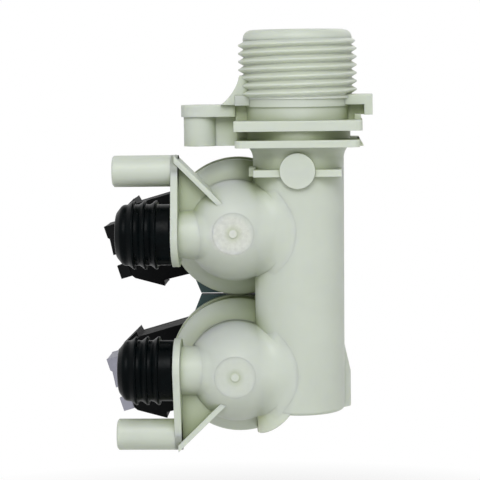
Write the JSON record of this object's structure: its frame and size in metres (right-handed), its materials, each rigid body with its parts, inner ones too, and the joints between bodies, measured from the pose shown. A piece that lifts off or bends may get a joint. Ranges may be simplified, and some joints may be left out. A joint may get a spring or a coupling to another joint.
{
  "type": "washing machine inlet valve",
  "caption": "Water inlet valve with a threaded hose connection, two diaphragm valves, push-in outlets with lipped seals and plug-in coils.",
  "frame": {"origin": "centre of the inlet's rim", "axes": "+Z out of the inlet along its thread, -X towards the outlets, +Y towards the coils"},
  "size_m": [0.0641, 0.0503, 0.0937],
  "materials": {
    "valve_nylon": "semi-matte natural nylon",
    "bonnet_teal": "matte",
    "housing_black": "fine grained",
    "key_black": "fine grained",
    "key_lavender": "matte",
    "rubber_black": "smooth moulded rubber",
    "rubber_grey": "smooth moulded rubber",
    "strainer_plastic": "matte",
    "regulator_plastic": "matte",
    "bobbin_plastic": "matte",
    "insert_plastic": "matte",
    "zinc_steel": "zinc plated",
    "stainless_steel": "turned",
    "copper_wire": "enamelled wire",
    "tinned_brass": "tinned"
  },
  "bodies": {
    "valve": {"valve_body": "valve_nylon", "inlet_strainer": "strainer_plastic", "flow_regulator": "regulator_plastic", "regulator_ring": "rubber_black", "upper_outlet_seal": "rubber_black", "upper_diaphragm": "rubber_grey", "upper_bonnet": "bonnet_teal", "upper_plunger_spring": "stainless_steel", "upper_bobbin": "bobbin_plastic", "upper_winding": "copper_wire", "upper_flux_sleeve": "zinc_steel", "upper_yoke": "zinc_steel", "upper_coil_housing": "housing_black", "upper_terminals": "tinned_brass", "upper_coding_frame": "key_black", "upper_coil_clip": "zinc_steel", "lower_outlet_seal": "rubber_black", "lower_diaphragm": "rubber_grey", "lower_bonnet": "bonnet_teal", "lower_plunger_spring": "stainless_steel", "lower_bobbin": "bobbin_plastic", "lower_winding": "copper_wire", "lower_flux_sleeve": "zinc_steel", "lower_yoke": "zinc_steel", "lower_coil_housing": "housing_black", "lower_terminals": "tinned_brass", "lower_coding_frame": "key_lavender", "lower_coil_clip": "zinc_steel"},
    "upper_plunger_group": {"upper_plunger": "stainless_steel", "upper_plunger_tip": "rubber_black"},
    "upper_insert_group": {"upper_diaphragm_insert": "insert_plastic"},
    "lower_plunger_group": {"lower_plunger": "stainless_steel", "lower_plunger_tip": "rubber_black"},
    "lower_insert_group": {"lower_diaphragm_insert": "insert_plastic"}
  },
  "joints": [
    {"name": "upper_plunger_slide", "type": "slide", "parent": "valve", "child": "upper_plunger_group", "axis": [0, 1, 0], "range_m": [0, 0.0025], "stiffness_N_per_m": 60, "springref_m": -0.006, "deforming": ["upper_plunger_spring"]},
    {"name": "upper_insert_slide", "type": "slide", "parent": "valve", "child": "upper_insert_group", "axis": [0, 1, 0], "range_m": [0, 0.0015], "deforming": ["upper_diaphragm"]},
    {"name": "lower_plunger_slide", "type": "slide", "parent": "valve", "child": "lower_plunger_group", "axis": [0, 1, 0], "range_m": [0, 0.0025], "stiffness_N_per_m": 60, "springref_m": -0.006, "deforming": ["lower_plunger_spring"]},
    {"name": "lower_insert_slide", "type": "slide", "parent": "valve", "child": "lower_insert_group", "axis": [0, 1, 0], "range_m": [0, 0.0015], "deforming": ["lower_diaphragm"]}
  ],
  "couplings": [
    {"joint": "upper_insert_slide", "follows": "upper_plunger_slide", "ratio": 0.6},
    {"joint": "lower_insert_slide", "follows": "lower_plunger_slide", "ratio": 0.6}
  ]
}
